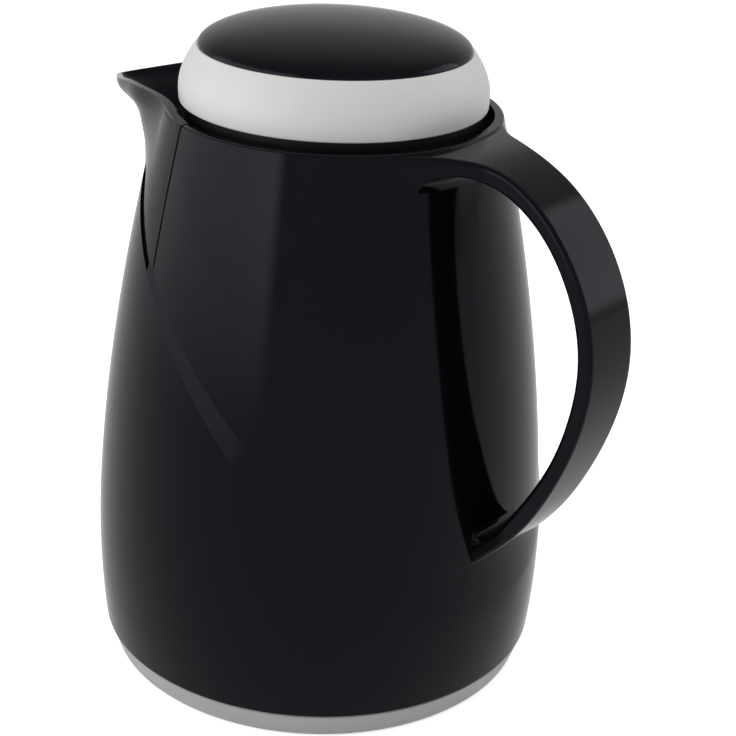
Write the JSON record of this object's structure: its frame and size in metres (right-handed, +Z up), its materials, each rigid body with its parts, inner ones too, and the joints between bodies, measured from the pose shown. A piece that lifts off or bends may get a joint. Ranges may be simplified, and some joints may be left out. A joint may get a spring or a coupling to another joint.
{
  "type": "thermal jug",
  "caption": "Vacuum jug with a gloss black casing, a wave across its body, a pouring beak, a strap handle and a round twist lid with a pale grey band.",
  "frame": {"origin": "on the jug's axis, in the plane of the table that the foot ring rests on", "axes": "+Z up, +X towards the handle, -X towards the beak's tip, Y across"},
  "size_m": [0.2058, 0.1498, 0.2131],
  "materials": {
    "gloss_black": "moulded, high gloss",
    "pale_grey": "moulded, satin",
    "foot_grey": "moulded, satin",
    "inner_black": "moulded, satin",
    "silvered_glass": "glass silvered on the vacuum side",
    "spacer_pad": "pressed fibre",
    "rubber": "moulded rubber",
    "silicone": "moulded silicone",
    "foam": "cut foam",
    "screw_steel": "zinc plated"
  },
  "bodies": {
    "jug": {"casing": "gloss_black", "handle": "gloss_black", "handle_screws": "screw_steel", "base_cap": "foot_grey", "liner_outer": "silvered_glass", "liner_inner": "silvered_glass", "liner_spacers": "spacer_pad", "liner_cushion": "rubber", "neck_gasket": "rubber", "collar_seal": "rubber", "neck_collar": "inner_black"},
    "seal": {"neck_seal": "silicone"},
    "lid": {"stopper_body": "inner_black", "stopper_foam": "foam", "stopper_foot": "inner_black", "stopper_screws": "screw_steel", "lid_base": "inner_black", "lid_band": "pale_grey", "lid_dome": "gloss_black"}
  },
  "joints": [
    {"name": "lid_lift", "type": "slide", "parent": "jug", "child": "seal", "axis": [0, 0, 1], "range_m": [0, 0.06]},
    {"name": "lid_twist", "type": "hinge", "parent": "seal", "child": "lid", "pos_m": [0, 0, 0.156], "axis": [0, 0, 1], "range_deg": [-90, 0]}
  ]
}
